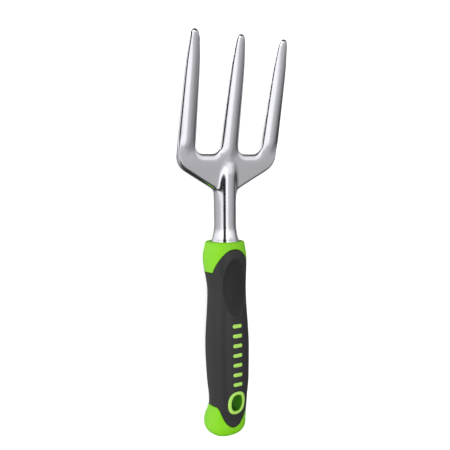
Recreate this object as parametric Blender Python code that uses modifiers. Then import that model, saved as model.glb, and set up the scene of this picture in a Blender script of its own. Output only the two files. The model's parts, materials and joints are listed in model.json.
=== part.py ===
"""Three-tine hand fork: one aluminium casting, moulded into a two-shot handle.

The tool is drawn along its own axis first: x = 0 is the front face of the collar, the tines point to +x,
the pommel to -x, and the thumb rests on the +z side. The whole tool is then tipped until the collar and
the yoke both touch z = 0, as it lies on a bench.

Pieces: fork_head (casting), handle_core (hard first shot), grip_sleeve (soft second shot).
"""

import math

import bmesh
import bpy
import numpy as np

# ------------------------------------------------------------------ clearances
FIT_GAP = 0.0003  # between pieces that touch on the real tool
SEAM_GAP = 0.0005  # the same along the axis, at a seam that runs aslant

# ------------------------------------------------------------------ handle
HANDLE_LENGTH = 0.155  # front face of the collar to the end of the pommel
SECTION_POWER = 2.3  # 2 is an ellipse, more is squarer
SLEEVE_WALL = 0.0024

# Half width, height on the thumb side and depth on the finger side, at the distances named below. The
# collar's rim follows the foot of the neck that it holds, with these walls round it.
RIM_WALLS = (0.0040, 0.0022, 0.0038)
GUARD_SECTION = (0.0166, 0.0146, 0.0172)
WAIST_SECTION = (0.0148, 0.0151, 0.0123)
BELLY_SECTION = (0.0168, 0.0171, 0.0141)
REAR_SECTION = (0.0162, 0.0171, 0.0128)
THROAT_SECTION = (0.0146, 0.0156, 0.0114)
POMMEL_SECTION = (0.0164, 0.0122, 0.0176)
GUARD_FROM_FACE = 0.0127
WAIST_FROM_FACE = 0.0385
BELLY_SHARE = 0.644  # of the way from the waist to the rear section
REAR_FROM_END = 0.049
THROAT_FROM_END = 0.029
POMMEL_FROM_END = 0.0125
DOME_POWER = 2.5  # how square the pommel's end is

RIM_ROUND = 0.0012
COLLAR_LOBE = 0.0056  # from the collar face to the top of the sleeve's lobes
COLLAR_TONGUE = 0.0236  # from the collar face to the tip of the green tongues
POMMEL_TONGUE_FROM_END = 0.0272
POMMEL_LOBE_FROM_END = 0.0102
TONGUE_HALF_TURN = math.radians(18)  # the flat tip of a tongue

THUMB_FROM_FACE = 0.0345
THUMB_LENGTH = 0.045
THUMB_WIDTH = 0.021
THUMB_DEPTH = 0.0019

SLOT_FROM_END = 0.0306
SLOT_LENGTH = 0.0132
SLOT_WIDTH = 0.0096
SLOT_RIM = 0.0027
SLOT_RIM_PROUD = 0.0005
SLOT_SQUARENESS = 0.84  # 1 is an ellipse, less is squarer
PRISM_REACH = 0.03  # how far from the axis the upright prisms run, well past the skin

MARK_WIDTH = 0.0082
MARK_THICKNESS = 0.0031
MARK_PITCH = 0.00757
MARK_FROM_THUMB_REST = 0.004  # the row is as long as fits between the thumb rest and the hang hole
MARK_ROW_FROM_SLOT = 0.0134  # nearest mark's far edge to the slot's centre
MARK_ROUND = 0.45  # corner radius as a share of the thickness
MARK_PROUD = 0.0004
MARK_ROOT = 0.006  # the bars begin this far over the axis, inside the barrel

# ------------------------------------------------------------------ casting
HEAD_REACH = 0.1535  # collar face to the tips of the tines
TINE_SPACING = 0.0378
TINE_SPLAY = 0.0014  # how much further out the outer tips are than their roots
TINE_ROOT_WIDTH = 0.0160
TINE_ROOT_DEPTH = 0.0116
TINE_FRONT = 0.38  # share of the depth in front of the middle surface: a low roof over a fuller back
TINE_SHOULDER_WIDTH = 0.0110  # where the tip's taper begins
TIP_TAPER = 0.023
TIP_WIDTH = 0.0064
CROTCH_FROM_FACE = 0.0667
CROTCH_DEPTH = 0.009  # from the bottom of the gap to its straight sides
YOKE_FROM_FACE = 0.0385
YOKE_CORNER = 0.0577
YOKE_THICKNESS = 0.0090
BEND_FROM_FACE = 0.015
BEND_RATE = 2.1  # per metre: the head curves towards the thumb side as this times the distance squared

NECK_RADIUS = 0.0086  # where it meets the yoke
NECK_WAIST = 0.0084  # its thinnest, just past the flare
NECK_FOOT = 0.0108
NECK_FLARE = 0.014  # length over which the foot narrows
NECK_STRAIGHT = 0.004  # from the flare to the thinnest place
NOSE_FROM_FACE = 0.055  # where the neck begins to round off into a nose that lies along the yoke
NOSE_REACH = 0.0685  # the last of it is sunk in the yoke
NECK_LIFT = 0.1  # how much of the bend the neck and nose follow
NOSE_END = 0.0016  # radius of the nose's blunt end

SOCKET_DEPTH = 0.006
SOCKET_LIP = 0.0008  # the chamfer round the neck in the collar face
TANG_REACH = 0.056
TANG_WIDTH = 0.013
TANG_DEPTH = 0.0085
TANG_TAPER = 0.7
TANG_HOLES = (0.020, 0.042)  # from the collar face
TANG_HOLE_RADIUS = 0.0028
TANG_EDGE = 0.001

# ------------------------------------------------------------------ form and fineness
SHOULDER = 0.66  # how far out on a tine its front begins to turn, as a share of its half width
EDGE_DROP = 0.62  # height there, as a share of the full height
BACK_DROP = 0.86  # the same on the rounder back
LIP_DROP = 0.45  # the same where the yoke has sloped down to the end of a gap
CROTCH_LIP = 0.0012  # the plate's face stops this far short of a gap's wall
TIP_END = 0.7  # width of the blunt end as a share of the tip's
TINE_ROWS = (0.25, 0.5, 0.7, 0.86, 0.95, 1.0)
AROUND = 40
SLEEVE_ROWS = 20
NECK_STEPS = 24
SMOOTHING = 1


def clear_scene():
    """Remove whatever the file opened with."""
    for obj in list(bpy.data.objects):
        bpy.data.objects.remove(obj, do_unlink=True)


def new_collection(name):
    collection = bpy.data.collections.new(name)
    bpy.context.scene.collection.children.link(collection)
    return collection


def material(name, colour, roughness, metallic=0.0):
    made = bpy.data.materials.new(name)
    made.use_nodes = True
    shader = made.node_tree.nodes["Principled BSDF"]
    shader.inputs["Base Color"].default_value = (*colour, 1.0)
    shader.inputs["Roughness"].default_value = roughness
    shader.inputs["Metallic"].default_value = metallic
    made.diffuse_color = (*colour, 1.0)
    return made


def place(mesh, name, collection, axis, finish=None):
    """Make an object of the mesh, on the tool's axis."""
    obj = bpy.data.objects.new(name, mesh)
    collection.objects.link(obj)
    obj.parent = axis
    if finish:
        mesh.materials.append(finish)
        mesh.shade_smooth()
        mesh.set_sharp_from_angle(angle=math.radians(35))
    else:
        obj.hide_render = True
        obj.display_type = "WIRE"
    return obj


def boolean(obj, tool, operation):
    modifier = obj.modifiers.new(f"{operation.lower()}_{tool.name}", "BOOLEAN")
    modifier.operation = operation
    modifier.solver = "EXACT"
    modifier.object = tool


# ------------------------------------------------------------------ the handle's outer form
def handle_stations():
    """The named sections in order, each as distance behind the collar face, half width, height and depth."""
    rim = [NECK_FOOT + wall for wall in RIM_WALLS]
    rear = HANDLE_LENGTH - REAR_FROM_END
    belly = WAIST_FROM_FACE + (rear - WAIST_FROM_FACE) * BELLY_SHARE
    return np.array(
        [
            (0.0, *rim),
            (GUARD_FROM_FACE, *GUARD_SECTION),
            (WAIST_FROM_FACE, *WAIST_SECTION),
            (belly, *BELLY_SECTION),
            (rear, *REAR_SECTION),
            (HANDLE_LENGTH - THROAT_FROM_END, *THROAT_SECTION),
            (HANDLE_LENGTH - POMMEL_FROM_END, *POMMEL_SECTION),
        ]
    )


def smooth_through(knots, values, wanted):
    """Cubic Hermite curve through the knots, with no overshoot where a value turns back."""
    steps = np.diff(knots)
    slopes = np.diff(values) / steps
    tangents = np.zeros(len(values))
    turning = slopes[:-1] * slopes[1:] > 0
    mean = 2 * slopes[:-1] * slopes[1:] / np.where(turning, slopes[:-1] + slopes[1:], 1)
    tangents[1:-1] = np.where(turning, mean, 0)
    tangents[0] = slopes[0]
    span = np.clip(np.searchsorted(knots, wanted, side="right") - 1, 0, len(knots) - 2)
    t = (wanted - knots[span]) / steps[span]
    rise = values[span] * (1 + 2 * t) * (1 - t) ** 2 + values[span + 1] * t**2 * (3 - 2 * t)
    lean = tangents[span] * t * (1 - t) ** 2 + tangents[span + 1] * t**2 * (t - 1)
    return rise + lean * steps[span]


def grip_surface(behind, turn, inset=0.0):
    """Points of the handle's skin, sunk by inset. turn is 0 on the +y flank and a quarter turn at the thumb.

    Each section is two half superellipses with one width, and behind the pommel's widest section they
    shrink as a dome. The thumb rest is a shallow bowl, so that what lies under the skin follows it.
    """
    behind, turn = np.broadcast_arrays(behind, turn)
    knots = handle_stations()
    along = np.minimum(behind, knots[-1, 0])
    width, height, depth = (smooth_through(knots[:, 0], knots[:, i], along) for i in (1, 2, 3))
    past = np.clip((behind - knots[-1, 0]) / POMMEL_FROM_END, 0, 1)
    dome = (1 - past**DOME_POWER) ** (1 / DOME_POWER)
    middle = (height - depth) / 2
    across = width * dome - inset
    upright = (height + depth) / 2 * dome - inset
    cosine, sine = np.cos(turn), np.sin(turn)
    y = across * np.sign(cosine) * np.abs(cosine) ** (2 / SECTION_POWER)
    z = middle + upright * np.sign(sine) * np.abs(sine) ** (2 / SECTION_POWER)
    reach = ((behind - THUMB_FROM_FACE) / (THUMB_LENGTH / 2)) ** 2 + (y / (THUMB_WIDTH / 2)) ** 2
    bowl = np.where(sine > 0, THUMB_DEPTH * np.clip(1 - reach**1.5, 0, 1), 0)
    return np.stack([-behind, y, z - bowl], axis=-1)


def flank_share(turn):
    """0 over a tongue's tip on either flank, rising to 1 at the thumb and finger sides."""
    off_flank = np.arcsin(np.abs(np.sin(turn)))
    return np.clip((off_flank - TONGUE_HALF_TURN) / (math.pi / 2 - TONGUE_HALF_TURN), 0, 1)


def front_seam(turn):
    """Distance behind the collar face of the seam between the collar and the sleeve."""
    climb = np.sin(flank_share(turn) * math.pi / 2)
    return COLLAR_TONGUE - (COLLAR_TONGUE - COLLAR_LOBE) * climb


def rear_seam(turn):
    """Distance behind the collar face of the seam between the sleeve and the pommel."""
    share = flank_share(turn)
    fall = share * share * (3 - 2 * share)
    tongue = HANDLE_LENGTH - POMMEL_TONGUE_FROM_END
    lobe = HANDLE_LENGTH - POMMEL_LOBE_FROM_END
    return tongue + (lobe - tongue) * fall


def loft(name, rings, ends_meet):
    """A closed skin over rings of equal count. The last ring joins the first, or both are capped.

    Each four-cornered patch is split from its corner nearest the collar, so that two skins that lie one
    over the other are folded the same way and stay apart.
    """
    count, around = rings.shape[:2]
    faces = []
    for ring in range(count if ends_meet else count - 1):
        following = (ring + 1) % count
        this, other = ring * around, following * around
        backwards = rings[ring, 0, 0] < rings[following, 0, 0]
        for i in range(around):
            j = (i + 1) % around
            if backwards:
                faces += [(this + i, this + j, other + i), (this + j, other + j, other + i)]
            else:
                faces += [(this + i, this + j, other + j), (this + i, other + j, other + i)]
    if not ends_meet:
        faces.append(tuple(reversed(range(around))))
        faces.append(tuple(range((count - 1) * around, count * around)))
    mesh = bpy.data.meshes.new(name)
    mesh.from_pydata(rings.reshape(-1, 3).tolist(), [], faces)
    outward(mesh)
    return mesh


def outward(mesh):
    """Turn the faces of a closed mesh to point out of it."""
    work = bmesh.new()
    work.from_mesh(mesh)
    bmesh.ops.recalc_face_normals(work, faces=work.faces)
    work.to_mesh(mesh)
    work.free()


def turns():
    return np.linspace(0, 2 * math.pi, AROUND, endpoint=False)


def rows_between(first, last, shares, inset):
    """One ring of the grip's skin for each share of the way from one seam to another."""
    turn = turns()
    first, last = np.broadcast_to(first, turn.shape), np.broadcast_to(last, turn.shape)
    return [grip_surface(first + (last - first) * share, turn, inset) for share in shares]


# ------------------------------------------------------------------ what goes through the handle
def mesh_from(work, name):
    """Turn a finished bmesh into a mesh."""
    mesh = bpy.data.meshes.new(name)
    work.to_mesh(mesh)
    work.free()
    return mesh


def slot_prism(name, grow):
    """The hang hole's outline, grown, as an upright prism through the whole handle."""
    work = bmesh.new()
    bmesh.ops.create_cone(work, cap_ends=True, segments=36, radius1=1, radius2=1, depth=2)
    middle = HANDLE_LENGTH - SLOT_FROM_END
    for vertex in work.verts:
        x, y, z = vertex.co
        vertex.co.x = (SLOT_LENGTH / 2 + grow) * math.copysign(abs(x) ** SLOT_SQUARENESS, x) - middle
        vertex.co.y = (SLOT_WIDTH / 2 + grow) * math.copysign(abs(y) ** SLOT_SQUARENESS, y)
        vertex.co.z = z * PRISM_REACH
    return mesh_from(work, name)


def mark_places():
    """Distance of each mark's centre behind the collar face."""
    last = HANDLE_LENGTH - SLOT_FROM_END - MARK_ROW_FROM_SLOT - MARK_THICKNESS / 2
    limit = THUMB_FROM_FACE + THUMB_LENGTH / 2 + MARK_FROM_THUMB_REST + MARK_THICKNESS / 2
    count = int((last - limit) / MARK_PITCH) + 1
    return last - MARK_PITCH * np.arange(count)


def mark_bars(name, grow):
    """The row of round-ended bars across the thumb side, grown, from inside the barrel up past the skin."""
    work = bmesh.new()
    for behind in mark_places():
        size = (MARK_THICKNESS + 2 * grow, MARK_WIDTH + 2 * grow, PRISM_REACH)
        cube = bmesh.ops.create_cube(work, size=1)["verts"]
        bmesh.ops.scale(work, vec=size, verts=cube)
        bmesh.ops.translate(work, vec=(-behind, 0, MARK_ROOT + PRISM_REACH / 2), verts=cube)
        upright = {e for v in cube for e in v.link_edges if abs(e.verts[0].co.z - e.verts[1].co.z) > FIT_GAP}
        round_off = MARK_THICKNESS * MARK_ROUND + grow
        bmesh.ops.bevel(work, geom=list(upright), offset=round_off, segments=3, profile=0.5, affect="EDGES")
    return mesh_from(work, name)


# ------------------------------------------------------------------ the sleeve and the core
def make_sleeve(tool, helpers, axis):
    """The soft skin between the two seams, open where the core's rim and marks come through."""
    front, rear = front_seam(turns()) + SEAM_GAP, rear_seam(turns()) - SEAM_GAP
    shares = np.linspace(0, 1, SLEEVE_ROWS)
    outer = rows_between(front, rear, shares, 0.0)
    inner = rows_between(front, rear, shares[::-1], SLEEVE_WALL)
    rubber = material("grey_rubber", (0.036, 0.036, 0.039), 0.65)
    sleeve = place(loft("grip_sleeve", np.array(outer + inner), True), "grip_sleeve", tool, axis, rubber)
    window = place(slot_prism("rim_window", SLOT_RIM + FIT_GAP), "rim_window", helpers, axis)
    boolean(sleeve, window, "DIFFERENCE")
    boolean(sleeve, place(mark_bars("mark_windows", FIT_GAP), "mark_windows", helpers, axis), "DIFFERENCE")
    return sleeve


def core_rings():
    """Rings of the core from the collar face to the pommel: full size outside the seams, sunk between."""
    sunk = SLEEVE_WALL + FIT_GAP
    front, rear = front_seam(turns()), rear_seam(turns())
    corner = np.linspace(0, math.pi / 2, 4)
    rows = [
        grip_surface(RIM_ROUND * (1 - math.cos(a)), turns(), RIM_ROUND * (1 - math.sin(a))) for a in corner
    ]
    rows += rows_between(RIM_ROUND, front, (0.35, 0.7, 1.0), 0.0)
    rows += rows_between(front, rear, (0.0,), sunk)
    rows += rows_between(front + SEAM_GAP, rear - SEAM_GAP, np.linspace(0, 1, SLEEVE_ROWS), sunk)
    rows += rows_between(front, rear, (1.0,), sunk)
    rows += rows_between(rear, HANDLE_LENGTH, (0.0, 0.3, 0.55, 0.75, 0.9, 0.98), 0.0)
    return np.array(rows)


def whole_grip(name, inset):
    """The whole handle's form as one solid, sunk or grown, for trimming what follows its skin."""
    widest = HANDLE_LENGTH - POMMEL_FROM_END
    rows = rows_between(0.0, widest, np.linspace(0, 1, 40), inset)
    rows += rows_between(widest, HANDLE_LENGTH, (0.5, 0.8), inset)
    return loft(name, np.array(rows), ends_meet=False)


def make_core(tool, helpers, axis):
    """The hard first shot: collar, barrel and pommel, with the hang hole's rim and the marks on it."""
    green = material("green_plastic", (0.24, 0.60, 0.02), 0.35)
    core = place(loft("handle_core", core_rings(), ends_meet=False), "handle_core", tool, axis, green)
    rim = place(slot_prism("slot_rim", SLOT_RIM), "slot_rim", helpers, axis)
    boolean(rim, place(whole_grip("rim_height", -SLOT_RIM_PROUD), "rim_height", helpers, axis), "INTERSECT")
    marks = place(mark_bars("marks", 0.0), "marks", helpers, axis)
    boolean(marks, place(whole_grip("mark_height", -MARK_PROUD), "mark_height", helpers, axis), "INTERSECT")
    boolean(core, rim, "UNION")
    boolean(core, marks, "UNION")
    boolean(core, place(slot_prism("slot", 0.0), "slot", helpers, axis), "DIFFERENCE")
    boolean(core, turned_socket(helpers, axis), "DIFFERENCE")
    bore = place(tang_block("bore", FIT_GAP), "bore", helpers, axis)
    boolean(bore, place(tang_pins("pins", -FIT_GAP), "pins", helpers, axis), "DIFFERENCE")
    boolean(core, bore, "DIFFERENCE")
    return core


# ------------------------------------------------------------------ casting
def bend(x):
    """Height of the head's middle surface: straight near the handle, then a curve, then straight tines."""
    curved = np.clip(x, BEND_FROM_FACE, CROTCH_FROM_FACE) - BEND_FROM_FACE
    beyond = np.clip(x - CROTCH_FROM_FACE, 0, None)
    slope = 2 * BEND_RATE * (CROTCH_FROM_FACE - BEND_FROM_FACE)
    return BEND_RATE * curved**2 + slope * beyond


def tine_width(from_tip):
    """Full width of a tine at a distance from its tip: a long straight taper, then a quicker one."""
    root = HEAD_REACH - CROTCH_FROM_FACE - CROTCH_DEPTH
    long_taper = TINE_SHOULDER_WIDTH + (TINE_ROOT_WIDTH - TINE_SHOULDER_WIDTH) * (from_tip - TIP_TAPER) / (
        root - TIP_TAPER
    )
    quick_taper = TIP_WIDTH + (TINE_SHOULDER_WIDTH - TIP_WIDTH) * from_tip / TIP_TAPER
    return np.where(from_tip > TIP_TAPER, long_taper, quick_taper)


def yoke_columns():
    """Distances of the cage's columns from the middle plane, where the tines leave the yoke."""
    half = TINE_ROOT_WIDTH / 2
    near, far = half, TINE_SPACING - half
    gap = near + (far - near) * np.array([0.16, 0.5, 0.84])
    outer = TINE_SPACING + np.array([-SHOULDER, 0.0, SHOULDER, 1.0]) * half
    return np.array([0.0, SHOULDER * half, *gap, *outer])


def yoke_rows():
    """The cage's rows up the yoke: edge's place and half width, middle's place, and dip under the gaps."""
    outer = TINE_SPACING + TINE_ROOT_WIDTH / 2
    root = CROTCH_FROM_FACE + CROTCH_DEPTH
    start, side = YOKE_FROM_FACE, NECK_RADIUS
    run, rise = YOKE_CORNER - start, outer - side
    middle = (CROTCH_FROM_FACE - start) / 5
    return [
        (start - middle * 0.6, side * 0.6, start - middle * 0.6, 0.0),
        (start, side, start, 0.0),
        (start + run * 0.28, side + rise * 0.28, start + middle, 0.0),
        (start + run * 0.54, side + rise * 0.54, start + middle * 2, 0.0),
        (start + run * 0.79, side + rise * 0.79, start + middle * 3, 0.0005),
        (YOKE_CORNER, outer, start + middle * 4, 0.0015),
        ((YOKE_CORNER + root) / 2, outer, CROTCH_FROM_FACE, 0.0045),
        (root, outer, root, CROTCH_DEPTH + CROTCH_LIP),
    ]


def gap_dip(y):
    """1 under the middle of a gap between tines, 0 beside the tines, and round between."""
    middle = TINE_SPACING / 2
    half = middle - TINE_ROOT_WIDTH / 2
    return np.sqrt(np.clip(1 - ((y - middle) / half) ** 2, 0, 1))


def fork_cage(name):
    """Half of the plate and tines as a coarse cage, open at y = 0, drawn flat and then bent.

    Each row across the yoke has columns on the front and back and one on the edge. In the last row the
    middle and the outer tine take their columns with them, and the columns between close the gap's end.
    """
    columns = yoke_columns()
    last = len(columns) - 1
    points, faces = [], []

    def add(x, y, z):
        points.append((x, y, z + float(bend(x))))
        return len(points) - 1

    def strip(one, other):
        for a, b, c, d in zip(one[:-1], one[1:], other[1:], other[:-1]):
            faces.append((a, b, c, d))

    rows = yoke_rows()
    fronts, backs, edges = [], [], []
    for number, (edge_x, edge_y, middle_x, dip) in enumerate(rows):
        final = number == len(rows) - 1
        front, back = [], []
        for i, column in enumerate(columns[:-1]):
            y = column * edge_y / columns[-1]
            x = edge_x + (middle_x - edge_x) * (1 - (y / edge_y) ** 2) - dip * gap_dip(column)
            in_gap = 2 <= i <= 4
            shoulder = i == last - 1 or (final and i in (1, last - 3))
            over = under = YOKE_THICKNESS / 2
            if final and not in_gap:
                over, under = TINE_ROOT_DEPTH * TINE_FRONT, TINE_ROOT_DEPTH * (1 - TINE_FRONT)
            if final and in_gap:
                over, under = over * LIP_DROP, under * LIP_DROP
            if number == len(rows) - 2 and in_gap:
                over *= (1 + LIP_DROP) / 2
            front.append(add(x, y, over * (EDGE_DROP if shoulder else 1)))
            back.append(add(x, y, -under * (BACK_DROP if shoulder else 1)))
        fronts.append(front)
        backs.append(back)
        edges.append(add(edge_x, edge_y, 0.0))
    rings = [front + [edge] + back[::-1] for front, edge, back in zip(fronts, edges, backs)]
    for one, other in zip(rings[:-1], rings[1:]):
        strip(one, other)
    faces.append(tuple(rings[0][::-1]))

    root = rows[-1][0]
    front, back = fronts[-1], backs[-1]
    half = TINE_ROOT_WIDTH / 2
    middle_side = add(root, half, 0.0)
    outer_side = add(root, TINE_SPACING - half, 0.0)
    wall = [middle_side]
    for column in columns[2:5]:
        wall.append(add(root - CROTCH_DEPTH * float(gap_dip(column)), column, 0.0))
    wall.append(outer_side)
    strip(front[1:6], wall)
    strip(wall, back[1:6])

    middle_ring = front[:2] + [middle_side] + back[1::-1]
    outer_ring = front[5:8] + [edges[-1]] + back[7:4:-1] + [outer_side]
    reach = HEAD_REACH - root
    for share in TINE_ROWS:
        from_tip = reach * (1 - share)
        x = HEAD_REACH - from_tip
        half = float(tine_width(from_tip)) / 2 * (TIP_END if share == TINE_ROWS[-1] else 1)
        depth = 2 * half * TINE_ROOT_DEPTH / TINE_ROOT_WIDTH
        over, under = depth * TINE_FRONT, -depth * (1 - TINE_FRONT)
        side = half * SHOULDER
        centre = TINE_SPACING + TINE_SPLAY * share
        section = [(0, over), (side, over * EDGE_DROP), (half, 0), (side, under * BACK_DROP), (0, under)]
        ring = [add(x, y, z) for y, z in section]
        strip(middle_ring, ring)
        middle_ring = ring
        around = [(-side, over * EDGE_DROP), *section, (-side, under * BACK_DROP), (-half, 0)]
        ring = [add(x, centre + y, z) for y, z in around]
        strip(outer_ring + outer_ring[:1], ring + ring[:1])
        outer_ring = ring
    faces.append(tuple(middle_ring))
    faces.append(tuple(outer_ring))
    mesh = bpy.data.meshes.new(name)
    mesh.from_pydata(points, [], faces)
    return mesh


def neck_rings():
    """Foot, flare, round neck and nose as rings round the tool's axis, lifted with the bend of the head."""
    outline = [(NECK_FOOT, -SOCKET_DEPTH)]
    for share in np.linspace(0, 1, 5):
        outline.append((NECK_FOOT + (NECK_WAIST - NECK_FOOT) * share * (2 - share), NECK_FLARE * share))
    outline.append((NECK_WAIST, NECK_FLARE + NECK_STRAIGHT))
    outline.append((NECK_RADIUS, (NECK_FLARE + NECK_STRAIGHT + NOSE_FROM_FACE) / 2))
    blunt = math.acos(NOSE_END / NECK_RADIUS)
    for angle in np.linspace(0, blunt, 8):
        nose = (NOSE_REACH - NOSE_FROM_FACE) * math.sin(angle)
        outline.append((NECK_RADIUS * math.cos(angle), NOSE_FROM_FACE + nose))
    turn = np.linspace(0, 2 * math.pi, NECK_STEPS, endpoint=False)
    rings = [(np.full(NECK_STEPS, x), r * np.cos(turn), r * np.sin(turn) + NECK_LIFT * bend(x)) for r, x in outline]
    return np.array(rings).transpose(0, 2, 1)


def socket_outline():
    """The seat of the neck's foot in the collar, with a small chamfer round its mouth."""
    wide, deep = NECK_FOOT + FIT_GAP, SOCKET_DEPTH + FIT_GAP
    mouth = [(0.0, SOCKET_LIP), (wide + SOCKET_LIP, SOCKET_LIP)]
    return mouth + [(wide, -SOCKET_LIP), (wide, -deep), (0.0, -deep)]


def turned_socket(helpers, axis):
    """The seat as a chain of edges in the xz plane, spun about z, with that z laid along the tool's axis."""
    outline = socket_outline()
    mesh = bpy.data.meshes.new("socket")
    edges = [(i, i + 1) for i in range(len(outline) - 1)]
    mesh.from_pydata([(radius, 0.0, height) for radius, height in outline], edges, [])
    obj = place(mesh, "socket", helpers, axis)
    screw = obj.modifiers.new("turned", "SCREW")
    screw.steps = NECK_STEPS
    screw.render_steps = NECK_STEPS
    screw.use_merge_vertices = True
    screw.merge_threshold = 0.00001
    obj.rotation_euler = (0, math.pi / 2, 0)
    return obj


def tang_block(name, grow):
    """The flat bar inside the handle, tapering away from the head."""
    work = bmesh.new()
    bmesh.ops.create_cube(work, size=2)
    end = TANG_REACH + grow
    for vertex in work.verts:
        x, y, z = vertex.co
        share = TANG_TAPER if x < 0 else 1
        vertex.co.x = -end if x < 0 else -SOCKET_DEPTH / 2
        vertex.co.y = y * (TANG_WIDTH / 2 * share + grow)
        vertex.co.z = z * (TANG_DEPTH / 2 * share + grow)
    long_edges = [e for e in work.edges if abs(e.verts[0].co.x - e.verts[1].co.x) > TANG_REACH / 2]
    bmesh.ops.bevel(work, geom=long_edges, offset=TANG_EDGE, segments=2, profile=0.5, affect="EDGES")
    return mesh_from(work, name)


def tang_pins(name, grow):
    """Round bars through the tang, where the hard plastic flows through and locks it."""
    work = bmesh.new()
    for behind in TANG_HOLES:
        pin = bmesh.ops.create_cone(
            work,
            cap_ends=True,
            segments=20,
            radius1=TANG_HOLE_RADIUS + grow,
            radius2=TANG_HOLE_RADIUS + grow,
            depth=TANG_DEPTH * 2,
        )
        bmesh.ops.translate(work, vec=(-behind, 0, 0), verts=pin["verts"])
    return mesh_from(work, name)


def make_head(tool, helpers, axis):
    """The casting: plate and tines from a smoothed cage, joined to the turned neck and the drilled tang."""
    aluminium = material("cast_aluminium", (0.74, 0.75, 0.78), 0.22, 1.0)
    head = place(fork_cage("fork_head"), "fork_head", tool, axis, aluminium)
    mirror = head.modifiers.new("other_half", "MIRROR")
    mirror.use_axis = (False, True, False)
    mirror.merge_threshold = 0.00001
    smooth = head.modifiers.new("cast_form", "SUBSURF")
    smooth.levels = SMOOTHING
    smooth.render_levels = SMOOTHING
    neck = place(loft("neck", neck_rings(), ends_meet=False), "neck", helpers, axis)
    boolean(head, neck, "UNION")
    tang = place(tang_block("tang", 0.0), "tang", helpers, axis)
    boolean(tang, place(tang_pins("tang_holes", 0.0), "tang_holes", helpers, axis), "DIFFERENCE")
    boolean(head, tang, "UNION")
    return head


# ------------------------------------------------------------------ assembly
def solid_points(obj):
    """Corners of the finished solid on the tool's axis."""
    evaluated = obj.evaluated_get(bpy.context.evaluated_depsgraph_get())
    mesh = evaluated.to_mesh()
    points = np.empty(len(mesh.vertices) * 3)
    mesh.vertices.foreach_get("co", points)
    evaluated.to_mesh_clear()
    return points.reshape(-1, 3)


def lay_down(axis, handle, head):
    """Tip the tool until handle and head both touch the bench, and centre it over the origin."""
    pitch = 0.0
    for _ in range(30):
        lowest = []
        for points in (handle, head):
            x = points[:, 0] * math.cos(pitch) + points[:, 2] * math.sin(pitch)
            z = points[:, 2] * math.cos(pitch) - points[:, 0] * math.sin(pitch)
            touch = int(z.argmin())
            lowest.append((x[touch], z[touch]))
        (handle_x, handle_z), (head_x, head_z) = lowest
        pitch += math.atan2(head_z - handle_z, head_x - handle_x)
    points = np.concatenate([handle, head])
    x = points[:, 0] * math.cos(pitch) + points[:, 2] * math.sin(pitch)
    z = points[:, 2] * math.cos(pitch) - points[:, 0] * math.sin(pitch)
    axis.rotation_euler = (0, pitch, 0)
    axis.location = (-(x.min() + x.max()) / 2, 0, -z.min())
    print(f"tipped {math.degrees(pitch):.3f} degrees, collar face centre at {tuple(axis.location)}")


def main():
    clear_scene()
    tool = new_collection("hand_fork")
    helpers = new_collection("cutters")
    axis = bpy.data.objects.new("tool_axis", None)
    tool.objects.link(axis)
    head = make_head(tool, helpers, axis)
    core = make_core(tool, helpers, axis)
    sleeve = make_sleeve(tool, helpers, axis)
    bpy.context.view_layer.update()
    handle = np.concatenate([solid_points(core), solid_points(sleeve)])
    lay_down(axis, handle, solid_points(head))


main()
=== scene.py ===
# %% [markdown]
# # A three-tine hand fork, finished for the camera
#
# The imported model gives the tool's real sizes and its place on the bench. This file gives it its looks: a
# polished casting, a lime green hard plastic and a dark soft skin moulded over it. Each step first says what
# the piece is on the real tool, then how it is made here.

import json
import math

import bmesh
import bpy
import numpy as np
from mathutils import Matrix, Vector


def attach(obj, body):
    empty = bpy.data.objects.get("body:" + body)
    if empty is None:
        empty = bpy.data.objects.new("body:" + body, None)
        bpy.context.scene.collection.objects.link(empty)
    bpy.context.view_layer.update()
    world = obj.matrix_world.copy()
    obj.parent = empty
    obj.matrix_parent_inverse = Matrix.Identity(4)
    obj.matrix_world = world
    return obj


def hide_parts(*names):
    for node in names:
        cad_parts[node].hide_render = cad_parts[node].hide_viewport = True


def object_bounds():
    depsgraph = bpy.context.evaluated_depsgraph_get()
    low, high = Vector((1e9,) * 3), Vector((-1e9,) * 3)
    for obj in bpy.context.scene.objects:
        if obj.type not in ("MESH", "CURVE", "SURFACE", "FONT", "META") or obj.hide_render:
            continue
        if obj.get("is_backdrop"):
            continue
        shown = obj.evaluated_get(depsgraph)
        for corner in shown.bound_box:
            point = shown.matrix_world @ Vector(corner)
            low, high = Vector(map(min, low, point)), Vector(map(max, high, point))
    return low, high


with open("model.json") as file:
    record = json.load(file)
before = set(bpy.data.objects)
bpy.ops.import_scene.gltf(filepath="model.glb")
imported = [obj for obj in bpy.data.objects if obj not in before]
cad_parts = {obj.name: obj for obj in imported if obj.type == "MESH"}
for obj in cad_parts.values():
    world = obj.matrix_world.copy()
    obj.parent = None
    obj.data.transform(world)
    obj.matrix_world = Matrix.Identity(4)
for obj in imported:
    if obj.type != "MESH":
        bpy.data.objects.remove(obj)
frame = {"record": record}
cad_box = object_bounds()
print("the frame's box in metres:", cad_box)

# %% [markdown]
# ## The tool's own axes
#
# The fork lies on its back, a little tipped, because it touches the bench at the finger side of the grip and
# at the back of the head. Everything is simpler to draw along the tool's own axis: x runs from the front face
# of the collar to the tips of the tines, y goes across, and z points to the thumb side. The mount on the
# collar's face says where that face is and which way it looks, so the two other axes follow from it.

# %% From the tool's axes to the bench
collar_mount = frame["record"]["mounts"][0]
AHEAD = np.array(collar_mount["axis"])
ACROSS = np.array([0.0, 1.0, 0.0])
THUMBWARD = np.cross(AHEAD, ACROSS)
FACE_CENTRE = np.array(collar_mount["pos_m"]) * [1.0, 0.0, 1.0]
TOOL_AXES = np.stack([AHEAD, ACROSS, THUMBWARD])


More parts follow.
